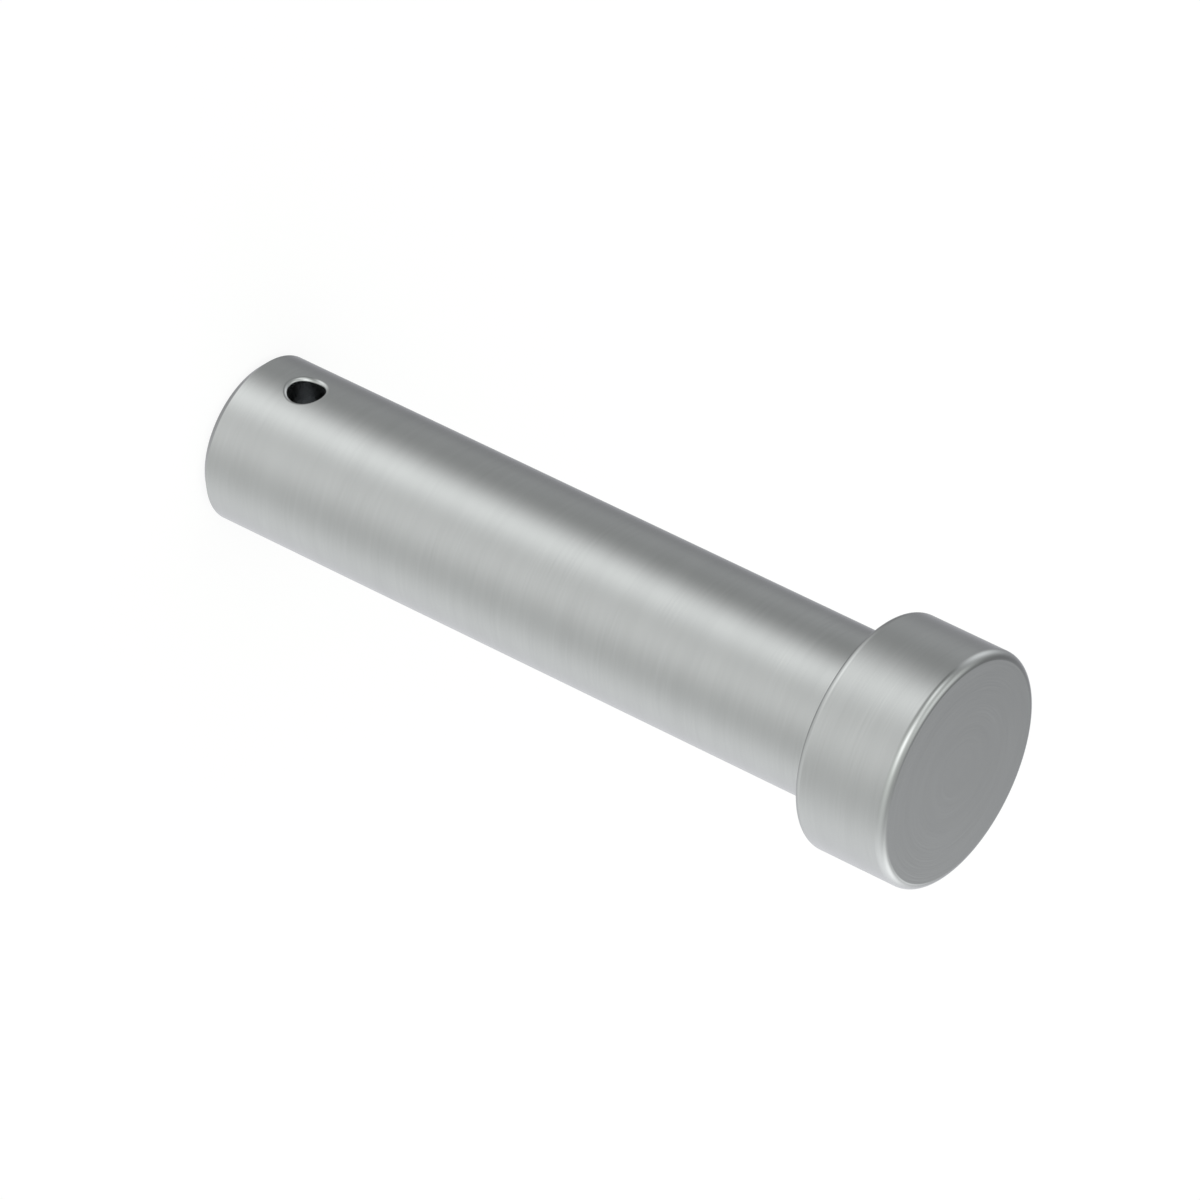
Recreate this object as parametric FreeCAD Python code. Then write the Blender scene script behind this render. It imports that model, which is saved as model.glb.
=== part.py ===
import FreeCAD, Part

import math
import os

# Clevis pin: a turned bar with a thick head, a chamfered free end and one cross hole for a split pin.
# It stands on its free end. Z runs along the pin towards the head, Y along the cross hole,
# and the origin is the centre of the free end's face. All sizes are in millimetres.

# Shank
shank_diameter = 20.0
shank_length = 86.0         # free end to the underside of the head
end_chamfer = 1.0           # at 45 degrees, round the free end

# Head
seat_width = 4.1            # how far the head stands out past the shank, all round
head_height = 12.0
head_edge_radius = 1.0      # rounds both rims of the head
seat_fillet_radius = 0.6    # in the corner between the shank and the head

# Cross hole
hole_diameter = 4.2
hole_from_end = 7.6         # free end to the hole's axis
hole_edge_radius = 0.5      # rounds both mouths

# Sizes that follow
shank_radius = shank_diameter / 2
hole_radius = hole_diameter / 2
head_radius = shank_radius + seat_width
overall_length = shank_length + head_height

ALONG_PIN = FreeCAD.Vector(0, 0, 1)
ALONG_HOLE = FreeCAD.Vector(0, 1, 0)
DIAGONAL = math.sqrt(0.5)


def on_profile(radius, height):
    """A point of the turned outline, at a distance from the axis and a height above the free end."""
    return FreeCAD.Vector(radius, 0, height)


def quarter_round(centre, radius, start, end):
    """A quarter circle in the outline's plane; start and end are unit steps (radial, along) from its centre."""
    def at(radial, along):
        return FreeCAD.Vector(centre.x + radius * radial, 0, centre.z + radius * along)

    middle = (DIAGONAL * (start[0] + end[0]), DIAGONAL * (start[1] + end[1]))
    return Part.Arc(at(*start), at(*middle), at(*end)).toShape()


def turned_outline():
    """Half of the pin's lengthwise section, closed along the axis, from the free end up to the top of the head."""
    fillet_centre = on_profile(shank_radius + seat_fillet_radius, shank_length - seat_fillet_radius)
    lower_rim_centre = on_profile(head_radius - head_edge_radius, shank_length + head_edge_radius)
    upper_rim_centre = on_profile(head_radius - head_edge_radius, overall_length - head_edge_radius)

    rounds = [
        quarter_round(fillet_centre, seat_fillet_radius, (-1, 0), (0, 1)),
        quarter_round(lower_rim_centre, head_edge_radius, (0, -1), (1, 0)),
        quarter_round(upper_rim_centre, head_edge_radius, (1, 0), (0, 1)),
    ]
    end_face = [on_profile(0, 0), on_profile(shank_radius - end_chamfer, 0), on_profile(shank_radius, end_chamfer)]
    top_centre = on_profile(0, overall_length)

    # straight runs join the chamfered end, the rounds in turn and the axis
    edges = [Part.makeLine(end_face[0], end_face[1]), Part.makeLine(end_face[1], end_face[2])]
    last_point = end_face[2]
    for curve in rounds:
        edges += [Part.makeLine(last_point, curve.firstVertex(True).Point), curve]
        last_point = curve.lastVertex(True).Point
    edges += [Part.makeLine(last_point, top_centre), Part.makeLine(top_centre, end_face[0])]
    return Part.Wire(edges)


def turned_blank():
    """Shank and head, turned from one bar."""
    section = Part.Face(turned_outline())
    return section.revolve(FreeCAD.Vector(0, 0, 0), ALONG_PIN, 360)


def drill():
    """The cutter for the cross hole, a little longer than the shank is wide."""
    reach = shank_diameter
    start = FreeCAD.Vector(0, -reach / 2 - hole_radius, hole_from_end)
    return Part.makeCylinder(hole_radius, reach + hole_diameter, start, ALONG_HOLE)


def hole_mouths(pin):
    """The two curved edges where the cross hole comes out of the shank."""
    def is_mouth(edge):
        box = edge.BoundBox
        level = abs(box.Center.z - hole_from_end) < hole_radius / 2
        as_wide = abs(box.XLength - hole_diameter) < hole_radius / 2
        outside = abs(box.Center.y) > shank_radius / 2
        return level and as_wide and outside

    return [edge for edge in pin.Edges if is_mouth(edge)]


def clevis_pin():
    pin = turned_blank().cut(drill())
    return pin.makeFillet(hole_edge_radius, hole_mouths(pin))


def main():
    os.makedirs("parts", exist_ok=True)
    pin = clevis_pin()
    print("solids", len(pin.Solids), "valid", pin.isValid(), "volume", round(pin.Volume, 1), "mm3")
    solid = pin.Solids[0]
    solid.exportStep("parts/clevis_pin.step")


main()
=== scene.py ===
import math

import bpy
from mathutils import Matrix, Vector


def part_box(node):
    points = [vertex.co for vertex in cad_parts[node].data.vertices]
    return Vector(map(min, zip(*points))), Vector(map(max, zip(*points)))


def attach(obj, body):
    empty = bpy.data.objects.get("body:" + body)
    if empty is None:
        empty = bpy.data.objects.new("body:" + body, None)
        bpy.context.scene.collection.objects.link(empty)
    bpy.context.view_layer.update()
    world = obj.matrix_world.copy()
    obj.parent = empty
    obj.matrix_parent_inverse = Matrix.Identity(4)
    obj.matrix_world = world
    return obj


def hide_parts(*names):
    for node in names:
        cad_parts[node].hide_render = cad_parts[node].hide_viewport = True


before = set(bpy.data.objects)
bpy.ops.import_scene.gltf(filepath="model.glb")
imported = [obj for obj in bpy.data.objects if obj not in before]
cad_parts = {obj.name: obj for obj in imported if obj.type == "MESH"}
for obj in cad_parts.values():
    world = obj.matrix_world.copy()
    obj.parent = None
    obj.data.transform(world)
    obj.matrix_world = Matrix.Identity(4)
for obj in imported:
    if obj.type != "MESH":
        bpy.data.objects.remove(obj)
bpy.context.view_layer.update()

MM = 0.001

# Sizes of the pin, in metres. The height and the head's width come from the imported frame.
lowest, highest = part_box("clevis_pin")
OVERALL_LENGTH = highest.z - lowest.z
HEAD_RADIUS = highest.x
SHANK_RADIUS = 10.0 * MM
HEAD_HEIGHT = 12.0 * MM
SEAT_HEIGHT = OVERALL_LENGTH - HEAD_HEIGHT
END_CHAMFER = 1.0 * MM
CHAMFER_ANGLE = 45.0            # degrees, from the end face to the chamfer and from there to the side
EDGE_BREAK = 0.07 * MM          # the slight round that turning leaves on the chamfer's two edges
HEAD_EDGE_RADIUS = 1.0 * MM
SEAT_FILLET_RADIUS = 0.6 * MM
HOLE_RADIUS = 2.1 * MM
HOLE_HEIGHT = 7.6 * MM
HOLE_EDGE_RADIUS = 0.5 * MM
HOLE_SIDES = (-1, 1)            # the hole opens towards -Y and +Y

# Fineness of the mesh
SEGMENTS = 240                  # columns round the pin, 1.5 degrees each
STEP_ANGLE = 2 * math.pi / SEGMENTS
CORNER_GRID = 1e7               # steps per metre; corners that round to the same step are one

# Each mouth of the hole lies in a square window, left out of the shank's sheet and filled with its own rows
WINDOW_COLUMNS = 16             # from the middle of the mouth to either side of its window
WINDOW_ROWS = 32
WINDOW_REACH = 4.2 * MM         # from the hole's axis down or up to the edge of the window
WINDOW_LOW = HOLE_HEIGHT - WINDOW_REACH
WINDOW_HIGH = HOLE_HEIGHT + WINDOW_REACH

# Steel
STEEL_COLOUR = (0.56, 0.57, 0.58)
STEEL_ROUGHNESS = 0.2
MARK_DEPTH = 0.003 * MM
WEAR = "wear"                   # the mesh attribute that is 1 on rounded edges

# Grains per metre of the steel's noises: in X, in Y, and along the turning tool's path or in Z
FINE_MARKS = (150, 150, 4500)
TOOL_PASSES = (60, 60, 450)
HANDLING = (110, 110, 110)

# Where the steel's finish, its painted light and its painted shade change: each pair is the place where a
# soft step is 0 and the place where it is 1.
# BORE_IN is a distance from the pin's axis, and the others are heights.
BORE_IN = (SHANK_RADIUS - 0.5 * MM, SHANK_RADIUS - 0.7 * MM)
BORE_LOW = (WINDOW_LOW - 0.5 * MM, WINDOW_LOW)
BORE_HIGH = (WINDOW_HIGH + 0.5 * MM, WINDOW_HIGH)
# Painted shade: the corner under the head is darkened between these heights
PAINTED_SHADE_LOW = (SEAT_HEIGHT - 0.9 * MM, SEAT_HEIGHT - 0.3 * MM)
PAINTED_SHADE_HIGH = (SEAT_HEIGHT + 0.45 * MM, SEAT_HEIGHT + 0.2 * MM)

# How much each feature of the steel adds to its tone and to its roughness
# In the tone, the bore's share is painted light on the shaded wall of the hole, and the corner's negative
# share is painted shade under the head.
TONE_SHARES = {"marks": 0.08, "passes": 0.09, "worn edges": 0.02, "bore": 0.12, "painted_corner_shade": -0.55}
ROUGHNESS_SHARES = {"marks": 0.06, "handling": 0.06, "worn edges": -0.03}

# Camera: the photograph's, kept relative to the pin. Azimuth runs from -Y towards +X, in degrees.
LENS = 300.0                    # millimetres
VIEW_AZIMUTH = 44.858
VIEW_ELEVATION = 28.541
VIEW_DISTANCE = 1.1031          # metres, from AIM back to the camera
AIM = Vector((0.031 * MM, -0.014 * MM, 49.042 * MM))

# Floor: white paper, which for the camera is mixed with a glow that brings the open floor up to white
WHITE = (1, 1, 1, 1)
FLOOR_SIZE = 4.0
FLOOR_DROP = 0.02 * MM          # below the free end, so that the two faces don't coincide
PAPER_COLOUR = (0.9, 0.9, 0.9, 1)
GLOW_STRENGTH = 1.12
GLOW_SHARE = 0.75

# The studio's soft lights: a first fit to the photograph's shading, then set in round numbers.
# Azimuth and elevation are in degrees, counted as the camera's are. A higher tightness is a smaller light.
LIGHTS = [
    (60, 35, 2.3, (0.82, 0.85, 0.80)),      # the widest, at the front right
    (40, 40, 16, (0.97, 0.97, 0.96)),       # above the photograph's camera
    (350, 25, 20, (0.94, 0.96, 0.93)),      # front
    (290, 2, 9, (0.90, 0.92, 0.91)),        # left
    (295, 65, 10, (0.75, 0.77, 0.74)),      # left, high up
    (160, 5, 3, (0.95, 0.96, 0.95)),        # wide, at the back right
    (190, 30, 18, (0.80, 0.81, 0.79)),      # back
    (218, 25, 300, (0.60, 0.62, 0.60)),     # a small one behind the pin, which the head's face mirrors
    (217, -20, 5, (0.54, 0.54, 0.57)),      # back left, low
    (5, -35, 13, (0.83, 0.84, 0.82)),       # front, low
    (60, -35, 7, (0.55, 0.55, 0.54)),       # front right, low
    (130, -55, 5, (0.50, 0.51, 0.49)),      # back right, far below
    (340, -60, 6.5, (0.69, 0.70, 0.68)),    # front, far below
]


class Skin:
    """Faces that share their corners, with an exact normal at each corner of each face."""

    def __init__(self):
        self.points = []
        self.numbers = {}       # the number of each point, by its place on the corner grid
        self.faces = []
        self.normals = []
        self.worn = set()       # numbers of the corners that lie on a rounded edge

    def corner(self, point):
        """The number of the corner at a point, which is added if it is new."""
        key = tuple(round(c * CORNER_GRID) for c in point)
        if key not in self.numbers:
            self.numbers[key] = len(self.points)
            self.points.append(Vector(point))
        return self.numbers[key]

    def wear(self, rows):
        """Marks the corners of a rounded edge, apart from its first and last row."""
        for row in rows[1:-1]:
            self.worn.update(self.corner(point) for point, _ in row)

    def face(self, corners):
        """corners: (point, normal) pairs, anticlockwise seen from outside. Those that coincide are merged."""
        kept = {}
        for point, normal in corners:
            kept.setdefault(self.corner(point), normal)
        if len(kept) > 2:
            self.faces.append(list(kept))
            self.normals += kept.values()

    def sheet(self, rows, skip=lambda column: False):
        """Quads between neighbouring rows of (point, normal) pairs; each row runs once round and closes."""
        count = len(rows[0])
        for lower, upper in zip(rows, rows[1:]):
            for j in range(count):
                if not skip(j):
                    k = (j + 1) % count
                    self.face([lower[j], lower[k], upper[k], upper[j]])

    def to_object(self, name):
        mesh = bpy.data.meshes.new(name)
        mesh.from_pydata(self.points, [], self.faces)
        mesh.shade_smooth()
        mesh.normals_split_custom_set(self.normals)
        wear = mesh.attributes.new(WEAR, "FLOAT", "POINT")
        for corner in self.worn:
            wear.data[corner].value = 1.0
        made = bpy.data.objects.new(name, mesh)
        bpy.context.scene.collection.objects.link(made)
        return made


def radial(angle):
    return Vector((math.cos(angle), math.sin(angle), 0))


def ring(radius, height, tilt):
    """One row round the pin. tilt is the normal's angle above the horizontal, in radians."""
    row = []
    for j in range(SEGMENTS):
        out = radial(j * STEP_ANGLE)
        normal = out * math.cos(tilt) + Vector((0, 0, math.sin(tilt)))
        row.append((out * radius + Vector((0, 0, height)), normal))
    return row


def arc(radius, height, size, start, end, steps, hollow=False):
    """Rows of a rounded corner about a centre. The angles are the direction from the centre, in degrees."""
    rows = []
    for i in range(steps + 1):
        angle = math.radians(start + (end - start) * i / steps)
        tilt = angle + math.pi if hollow else angle
        rows.append(ring(radius + size * math.cos(angle), height + size * math.sin(angle), tilt))
    return rows


def straight(start, end, steps):
    """Rows of a cone, cylinder or flat ring between two (radius, height) points, outside to the right."""
    (r0, z0), (r1, z1) = start, end
    tilt = math.atan2(r0 - r1, z1 - z0)
    return [ring(r0 + (r1 - r0) * i / steps, z0 + (z1 - z0) * i / steps, tilt) for i in range(steps + 1)]


def add_free_end(skin):
    """The flat face that the pin stands on, and the chamfer with its two slightly broken edges."""
    reach = EDGE_BREAK * math.tan(math.radians(CHAMFER_ANGLE / 2))
    flat_radius = SHANK_RADIUS - END_CHAMFER - reach
    side_height = END_CHAMFER + reach
    skin.sheet(straight((0, 0), (flat_radius, 0), steps=6))
    inner = arc(flat_radius, EDGE_BREAK, EDGE_BREAK, start=-90, end=-CHAMFER_ANGLE, steps=4)
    outer = arc(SHANK_RADIUS - EDGE_BREAK, side_height, EDGE_BREAK, start=-CHAMFER_ANGLE, end=0, steps=4)
    slope = [inner[-1], outer[0]]
    for rows in (inner, slope, outer):
        skin.sheet(rows)
        skin.wear(rows)
    return side_height


def mouth_column(side):
    """The column through the middle of the hole's mouth on that side of the pin."""
    return (2 - side) * SEGMENTS // 4


def in_window(column):
    """True for a column of faces that crosses the window round either mouth of the hole."""
    return any(-WINDOW_COLUMNS <= column - mouth_column(side) < WINDOW_COLUMNS for side in HOLE_SIDES)


def add_shank(skin, bottom):
    top = SEAT_HEIGHT - SEAT_FILLET_RADIUS
    skin.sheet(straight((SHANK_RADIUS, bottom), (SHANK_RADIUS, WINDOW_LOW), steps=2))
    skin.sheet(straight((SHANK_RADIUS, WINDOW_LOW), (SHANK_RADIUS, WINDOW_HIGH), WINDOW_ROWS), skip=in_window)
    skin.sheet(straight((SHANK_RADIUS, WINDOW_HIGH), (SHANK_RADIUS, top), steps=24))


def add_head(skin):
    """From the fillet under the head, out over the seat, up the side and in over the top."""
    fillet_centre = SHANK_RADIUS + SEAT_FILLET_RADIUS
    fillet_height = SEAT_HEIGHT - SEAT_FILLET_RADIUS
    rim_centre = HEAD_RADIUS - HEAD_EDGE_RADIUS
    low_rim = SEAT_HEIGHT + HEAD_EDGE_RADIUS
    high_rim = OVERALL_LENGTH - HEAD_EDGE_RADIUS
    skin.sheet(arc(fillet_centre, fillet_height, SEAT_FILLET_RADIUS, start=180, end=90, steps=8, hollow=True))
    skin.sheet(straight((fillet_centre, SEAT_HEIGHT), (rim_centre, SEAT_HEIGHT), steps=2))
    lower_rim = arc(rim_centre, low_rim, HEAD_EDGE_RADIUS, start=-90, end=0, steps=12)
    upper_rim = arc(rim_centre, high_rim, HEAD_EDGE_RADIUS, start=0, end=90, steps=16)
    skin.sheet(lower_rim)
    skin.sheet(straight((HEAD_RADIUS, low_rim), (HEAD_RADIUS, high_rim), steps=6))
    skin.sheet(upper_rim)
    for rim in (lower_rim, upper_rim):
        skin.wear(rim)
    skin.sheet(straight((rim_centre, OVERALL_LENGTH), (0, OVERALL_LENGTH), steps=8))


def window_outline(middle):
    """(column, row) of each corner round the window about that column, anticlockwise seen from outside."""
    left, right = middle - WINDOW_COLUMNS, middle + WINDOW_COLUMNS
    outline = [(column, 0) for column in range(left, right)]
    outline += [(right, row) for row in range(WINDOW_ROWS)]
    outline += [(column, WINDOW_ROWS) for column in range(right, left, -1)]
    outline += [(left, row) for row in range(WINDOW_ROWS, 0, -1)]
    return outline


def mouth_rows(side, edge_steps=8, spread_steps=10):
    """Rows from the window's outline in to the rounded edge of the hole, and over it onto the hole's wall."""
    middle = mouth_column(side)
    reach = HOLE_RADIUS + HOLE_EDGE_RADIUS
    inset = SHANK_RADIUS - HOLE_EDGE_RADIUS
    spread = [[] for _ in range(spread_steps)]
    edge = [[] for _ in range(edge_steps + 1)]
    for column, level in window_outline(middle):
        angle = column * STEP_ANGLE
        height = WINDOW_LOW + (WINDOW_HIGH - WINDOW_LOW) * level / WINDOW_ROWS
        # direction of this corner from the hole's axis, seen from outside
        turn = math.atan2(height - HOLE_HEIGHT, SHANK_RADIUS * (column - middle) * STEP_ANGLE)
        across = -side * reach * math.cos(turn)
        depth = side * math.sqrt(inset ** 2 - across ** 2)
        centre = Vector((across, depth, HOLE_HEIGHT + reach * math.sin(turn)))
        outward = Vector((centre.x, centre.y, 0)).normalized()
        inward = Vector((side * math.cos(turn), 0, -math.sin(turn)))
        rim_angle = math.atan2(outward.y, outward.x) % (2 * math.pi)
        for i, row in enumerate(spread):
            share = i / spread_steps
            out = radial(angle + (rim_angle - angle) * share)
            row.append((out * SHANK_RADIUS + Vector((0, 0, height + (centre.z - height) * share)), out))
        for i, row in enumerate(edge):
            normal = outward.slerp(inward, i / edge_steps)
            row.append((centre + normal * HOLE_EDGE_RADIUS, normal))
    return spread + edge[:1], edge


def straight_across(point, mouth):
    """The point of the other mouth's row that lies nearest to the line from this point along the hole."""
    return min((other for other, _ in mouth), key=lambda other: (other - point).xz.length)


def add_hole(skin, wall_steps=12):
    """Both mouths, and the wall that joins their inner rows."""
    ends = []
    for side in HOLE_SIDES:
        spread, edge = mouth_rows(side)
        skin.sheet(spread)
        skin.sheet(edge)
        skin.wear(edge)
        ends.append(edge[-1])
    # each row runs anticlockwise seen from its own side, so the far one is matched by place, not by order
    near, far = ends
    pairs = [(point, straight_across(point, far), normal) for point, normal in near]
    wall = []
    for i in range(wall_steps + 1):
        wall.append([(point.lerp(opposite, i / wall_steps), normal) for point, opposite, normal in pairs])
    skin.sheet(wall)


def make_pin():
    skin = Skin()
    side_height = add_free_end(skin)
    add_shank(skin, side_height)
    add_hole(skin)
    add_head(skin)
    return skin.to_object("clevis_pin_finished")


def new_material(name):
    material = bpy.data.materials.new(name)
    material.use_nodes = True
    material.node_tree.nodes.clear()
    return material, material.node_tree


def operate(tree, kind, operation, values):
    """Adds a maths node. Each value is a number, a tuple or another node's output."""
    node = tree.nodes.new(kind)
    node.operation = operation
    for socket, value in zip(node.inputs, values):
        if isinstance(value, bpy.types.NodeSocket):
            tree.links.new(value, socket)
        else:
            socket.default_value = value
    return node.outputs


def scalar(tree, operation, *values):
    return operate(tree, "ShaderNodeMath", operation, values)["Value"]


def vector(tree, operation, *values):
    outputs = operate(tree, "ShaderNodeVectorMath", operation, values)
    return outputs["Value"] if operation in ("DOT_PRODUCT", "LENGTH") else outputs["Vector"]


def noise(tree, place, scale, detail):
    """Noise centred on zero, from about -0.3 to 0.3. scale holds the grains per metre along each axis."""
    node = tree.nodes.new("ShaderNodeTexNoise")
    node.inputs["Scale"].default_value = 1.0
    node.inputs["Detail"].default_value = detail
    tree.links.new(vector(tree, "MULTIPLY", place, scale), node.inputs["Vector"])
    return scalar(tree, "SUBTRACT", node.outputs["Fac"], 0.5)


def soft_step(tree, value, step):
    """A smooth rise or fall from 0 at the step's first value to 1 at its second, and level beyond them."""
    node = tree.nodes.new("ShaderNodeMapRange")
    node.interpolation_type = "SMOOTHSTEP"
    tree.links.new(value, node.inputs["Value"])
    zero_at, one_at = step
    node.inputs["From Min"].default_value = zero_at
    node.inputs["From Max"].default_value = one_at
    return node.outputs["Result"]


def soft_band(tree, value, rise, fall):
    """1 between two soft steps, and 0 outside them."""
    return scalar(tree, "MULTIPLY", soft_step(tree, value, rise), soft_step(tree, value, fall))


def weighted(tree, base, features, shares):
    """The base value, plus each named feature times its share."""
    total = base
    for name, share in shares.items():
        total = scalar(tree, "MULTIPLY_ADD", features[name], share, total)
    return total


def close_tree(tree, kind, surface):
    """Joins the finished shader to a new output node."""
    output = tree.nodes.new(kind)
    tree.links.new(surface, output.inputs["Surface"])


def steel_features(tree):
    """What varies over the steel, and where light and shade are painted on it, by name. The noises are
    centred on zero; the others run from 0 to 1.
    """
    place = tree.nodes.new("ShaderNodeTexCoord").outputs["Object"]
    height = vector(tree, "DOT_PRODUCT", place, (0, 0, 1))
    across = vector(tree, "MULTIPLY", place, (1, 1, 0))
    radius = vector(tree, "LENGTH", across)
    # the marks follow the turning tool's path: up the sides, and out over the flat faces
    travel = scalar(tree, "ADD", height, radius)
    path = vector(tree, "ADD", across, vector(tree, "MULTIPLY", travel, (0, 0, 1)))
    wear = tree.nodes.new("ShaderNodeAttribute")
    wear.attribute_name = WEAR
    # the drilled wall of the cross hole is all that lies inside the shank's skin at these heights; its tone
    # share is painted light there
    inside = soft_step(tree, radius, BORE_IN)
    bore = scalar(tree, "MULTIPLY", inside, soft_band(tree, height, BORE_LOW, BORE_HIGH))
    # painted shade: the corner under the head is darkened up to the turn of the lower rim
    painted_corner_shade = soft_band(tree, height, PAINTED_SHADE_LOW, PAINTED_SHADE_HIGH)
    return {
        "marks": noise(tree, path, FINE_MARKS, detail=2),
        "passes": noise(tree, path, TOOL_PASSES, detail=2),
        "handling": noise(tree, place, HANDLING, detail=3),
        "worn edges": wear.outputs["Fac"],
        "bore": bore,
        "painted_corner_shade": painted_corner_shade,
    }


def steel():
    """Bright steel, turned and finely ground. Its marks run round the sides and in rings on flat faces, with
    painted light in the hole and painted shade under the head.
    """
    material, tree = new_material("bright_steel")
    features = steel_features(tree)
    tone = weighted(tree, 1.0, features, TONE_SHARES)
    roughness = weighted(tree, STEEL_ROUGHNESS, features, ROUGHNESS_SHARES)
    # the drilled wall has no turning marks
    unbored = scalar(tree, "SUBTRACT", 1.0, features["bore"])
    bump = tree.nodes.new("ShaderNodeBump")
    bump.inputs["Distance"].default_value = MARK_DEPTH
    tree.links.new(scalar(tree, "MULTIPLY", features["marks"], unbored), bump.inputs["Height"])

    shader = tree.nodes.new("ShaderNodeBsdfPrincipled")
    shader.inputs["Metallic"].default_value = 1.0
    tree.links.new(vector(tree, "MULTIPLY", STEEL_COLOUR, tone), shader.inputs["Base Color"])
    tree.links.new(roughness, shader.inputs["Roughness"])
    tree.links.new(bump.outputs["Normal"], shader.inputs["Normal"])
    close_tree(tree, "ShaderNodeOutputMaterial", shader.outputs["BSDF"])
    return material


def toward(azimuth, elevation):
    """The unit vector from the pin towards an azimuth and an elevation, in degrees."""
    azimuth, elevation = math.radians(azimuth), math.radians(elevation)
    level = math.cos(elevation)
    return Vector((math.sin(azimuth) * level, -math.cos(azimuth) * level, math.sin(elevation)))


def add_camera():
    """The picture's up is the direction in which the cross hole leaves the pin, so the pin lies across it."""
    back = toward(VIEW_AZIMUTH, VIEW_ELEVATION)
    right = Vector((0, -1, 0)).cross(back).normalized()
    up = back.cross(right)
    camera = bpy.data.objects.new("camera", bpy.data.cameras.new("camera"))
    camera.data.lens = LENS
    turn = Matrix((right, up, back)).transposed().to_4x4()
    camera.matrix_world = Matrix.Translation(AIM + back * VIEW_DISTANCE) @ turn
    bpy.context.scene.collection.objects.link(camera)
    bpy.context.scene.camera = camera


def camera_share(tree, share):
    """The share for what the camera or clear glass would see, and 0 for the light that falls on things."""
    path = tree.nodes.new("ShaderNodeLightPath").outputs
    seen = scalar(tree, "ADD", path["Is Camera Ray"], path["Is Transmission Ray"])
    return scalar(tree, "MULTIPLY", seen, share)


def mix_shaders(tree, share, first, second):
    mix = tree.nodes.new("ShaderNodeMixShader")
    tree.links.new(share, mix.inputs["Fac"])
    tree.links.new(first, mix.inputs[1])
    tree.links.new(second, mix.inputs[2])
    return mix.outputs["Shader"]


def add_floor():
    """Plain white, with the pin's soft shadow. The pin mirrors the studio's lights and not the floor."""
    bpy.ops.mesh.primitive_plane_add(size=FLOOR_SIZE, location=(0, 0, -FLOOR_DROP))
    floor = bpy.context.object
    floor.name = "floor"
    floor.visible_glossy = False
    floor.visible_shadow = False
    material, tree = new_material("floor")
    paper = tree.nodes.new("ShaderNodeBsdfDiffuse")
    paper.inputs["Color"].default_value = PAPER_COLOUR
    glow = tree.nodes.new("ShaderNodeEmission")
    glow.inputs["Color"].default_value = WHITE
    glow.inputs["Strength"].default_value = GLOW_STRENGTH
    seen = camera_share(tree, GLOW_SHARE)
    surface = mix_shaders(tree, seen, paper.outputs["BSDF"], glow.outputs["Emission"])
    close_tree(tree, "ShaderNodeOutputMaterial", surface)
    floor.data.materials.append(material)


def add_world():
    """White to the camera. Everything else is lit by the studio's soft lights, all far away."""
    world = bpy.data.worlds.new("studio")
    bpy.context.scene.world = world
    world.use_nodes = True
    tree = world.node_tree
    tree.nodes.clear()
    direction = tree.nodes.new("ShaderNodeTexCoord").outputs["Generated"]
    total = (0, 0, 0)
    for azimuth, elevation, tightness, colour in LIGHTS:
        # each light is brightest at its middle and fades smoothly all round
        cosine = vector(tree, "DOT_PRODUCT", direction, toward(azimuth, elevation))
        falloff = scalar(tree, "EXPONENT", scalar(tree, "MULTIPLY_ADD", cosine, tightness, -tightness))
        total = vector(tree, "MULTIPLY_ADD", falloff, colour, total)
    studio = tree.nodes.new("ShaderNodeBackground")
    tree.links.new(total, studio.inputs["Color"])
    white = tree.nodes.new("ShaderNodeBackground")
    white.inputs["Color"].default_value = WHITE
    seen = camera_share(tree, 1.0)
    surface = mix_shaders(tree, seen, studio.outputs["Background"], white.outputs["Background"])
    close_tree(tree, "ShaderNodeOutputWorld", surface)


pin = make_pin()
pin.data.materials.append(steel())
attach(pin, "root")
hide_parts("clevis_pin")
add_camera()
add_floor()
add_world()

bpy.context.scene.view_settings.view_transform = "Standard"
